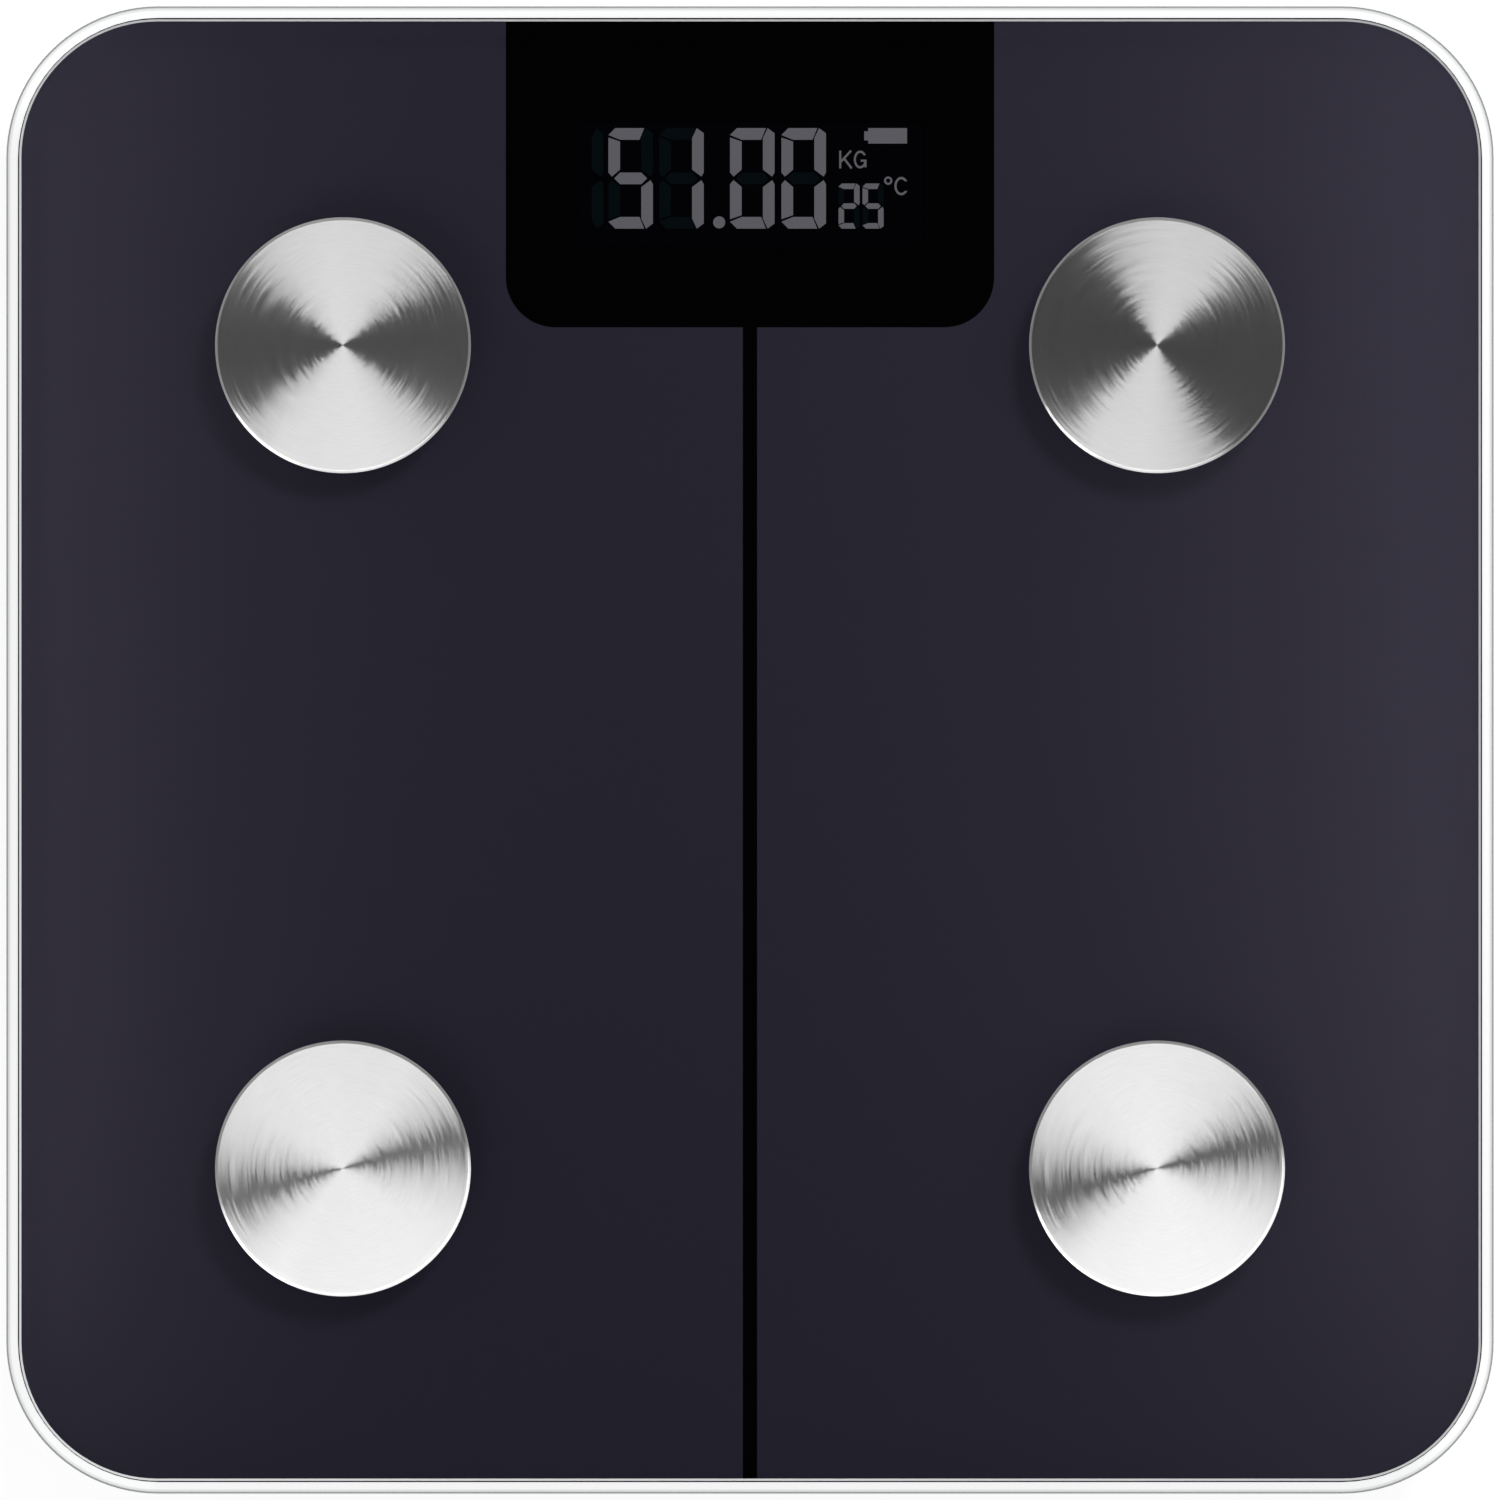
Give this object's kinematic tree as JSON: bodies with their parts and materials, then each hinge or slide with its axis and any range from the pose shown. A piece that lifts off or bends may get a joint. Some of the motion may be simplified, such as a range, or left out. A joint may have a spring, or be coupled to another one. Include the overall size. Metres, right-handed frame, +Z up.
{
  "type": "digital bathroom scale",
  "caption": "Square glass-topped digital bathroom scale with round steel electrodes, a display window, a battery door and sprung load-cell feet.",
  "frame": {"origin": "on the floor under the middle of the scale", "axes": "+Z up, +Y towards the display's end, +X to the right for someone who reads the display"},
  "size_m": [0.26, 0.26, 0.0243],
  "materials": {
    "clear_glass": "clear tempered float glass, polished bevelled edge",
    "blue_grey_print": "dark blue-grey print seen through the glass",
    "black_print": "gloss black print seen through the glass",
    "clear_adhesive": "thin clear adhesive film",
    "plated_brass": "plated brass",
    "zinc_plated_steel": "zinc-plated steel",
    "lead_insulation_black": "black PVC insulation",
    "lead_insulation_red": "red PVC insulation",
    "bonding_foam": "white acrylic foam tape",
    "base_plastic": "fine-textured black ABS",
    "blank_label": "blank silver-grey foil label",
    "circuit_board": "green solder mask",
    "component_black": "black moulded components",
    "radio_board": "blue solder mask",
    "socket_plastic": "off-white nylon",
    "lcd_glass": "black display glass",
    "segment_lit": "lit segment, pale grey",
    "segment_unlit": "unlit segment, faint dark teal",
    "light_guide": "white diffuser",
    "battery_sleeve": "plain dark sleeve on a steel can",
    "spring_steel": "nickel-plated spring wire",
    "plated_steel": "nickel-plated strip",
    "door_plastic": "fine-textured black ABS",
    "button_plastic": "dark grey ABS",
    "brushed_electrode": "circular-brushed stainless steel",
    "foot_plastic": "dark ABS",
    "pad_rubber": "black non-slip rubber",
    "load_cell_steel": "stamped alloy steel",
    "gauge_coating": "white protective silicone"
  },
  "bodies": {
    "platform": {"glass_platform": "clear_glass", "back_print": "blue_grey_print", "window_print": "black_print", "centre_stripe": "black_print", "electrode_adhesive": "clear_adhesive", "electrode_terminals": "plated_brass", "electrode_nuts": "zinc_plated_steel", "electrode_leads": "lead_insulation_black", "bonding_tape": "bonding_foam", "base_shell": "base_plastic", "rating_label": "blank_label", "main_board": "circuit_board", "board_components": "component_black", "radio_module": "radio_board", "thermistor": "component_black", "lead_sockets": "socket_plastic", "board_screws": "zinc_plated_steel", "tact_switch": "component_black", "lcd_panel": "lcd_glass", "lcd_segments_lit": "segment_lit", "lcd_segments_unlit": "segment_unlit", "lcd_pins": "zinc_plated_steel", "backlight_panel": "light_guide", "display_frame": "base_plastic", "battery_front": "battery_sleeve", "battery_middle": "battery_sleeve", "battery_rear": "battery_sleeve", "battery_springs": "spring_steel", "battery_plates": "plated_steel", "battery_leads": "lead_insulation_red", "electrode_rear_left": "brushed_electrode", "foot_lead_rear_left": "lead_insulation_red", "electrode_rear_right": "brushed_electrode", "foot_lead_rear_right": "lead_insulation_red", "electrode_front_left": "brushed_electrode", "foot_lead_front_left": "lead_insulation_red", "electrode_front_right": "brushed_electrode", "foot_lead_front_right": "lead_insulation_red"},
    "foot_rear_left": {"foot_cup_rear_left": "foot_plastic", "foot_pad_rear_left": "pad_rubber", "load_cell_rear_left": "load_cell_steel", "strain_gauge_rear_left": "gauge_coating"},
    "foot_rear_right": {"foot_cup_rear_right": "foot_plastic", "foot_pad_rear_right": "pad_rubber", "load_cell_rear_right": "load_cell_steel", "strain_gauge_rear_right": "gauge_coating"},
    "foot_front_left": {"foot_cup_front_left": "foot_plastic", "foot_pad_front_left": "pad_rubber", "load_cell_front_left": "load_cell_steel", "strain_gauge_front_left": "gauge_coating"},
    "foot_front_right": {"foot_cup_front_right": "foot_plastic", "foot_pad_front_right": "pad_rubber", "load_cell_front_right": "load_cell_steel", "strain_gauge_front_right": "gauge_coating"},
    "battery_door": {"battery_door": "door_plastic", "battery_door_latch": "door_plastic"},
    "unit_button": {"unit_button": "button_plastic", "switch_plunger": "plated_brass"}
  },
  "joints": [
    {"name": "foot_travel_rear_left", "type": "slide", "parent": "platform", "child": "foot_rear_left", "axis": [0, 0, 1], "range_m": [0, 0.0005], "stiffness_N_per_m": 10000, "springref_m": -0.0006, "deforming": ["load_cell_rear_left", "foot_lead_rear_left"]},
    {"name": "foot_travel_rear_right", "type": "slide", "parent": "platform", "child": "foot_rear_right", "axis": [0, 0, 1], "range_m": [0, 0.0005], "stiffness_N_per_m": 10000, "springref_m": -0.0006, "deforming": ["load_cell_rear_right", "foot_lead_rear_right"]},
    {"name": "foot_travel_front_left", "type": "slide", "parent": "platform", "child": "foot_front_left", "axis": [0, 0, 1], "range_m": [0, 0.0005], "stiffness_N_per_m": 10000, "springref_m": -0.0006, "deforming": ["load_cell_front_left", "foot_lead_front_left"]},
    {"name": "foot_travel_front_right", "type": "slide", "parent": "platform", "child": "foot_front_right", "axis": [0, 0, 1], "range_m": [0, 0.0005], "stiffness_N_per_m": 10000, "springref_m": -0.0006, "deforming": ["load_cell_front_right", "foot_lead_front_right"]},
    {"name": "battery_door_hinge", "type": "hinge", "parent": "platform", "child": "battery_door", "pos_m": [0, -0.0114, 0.004], "axis": [-1, 0, 0], "range_deg": [0, 75], "deforming": ["battery_door_latch"]},
    {"name": "unit_button_press", "type": "slide", "parent": "platform", "child": "unit_button", "axis": [0, 0, 1], "range_m": [0, 0.0004], "stiffness_N_per_m": 2500, "springref_m": -0.0002}
  ]
}
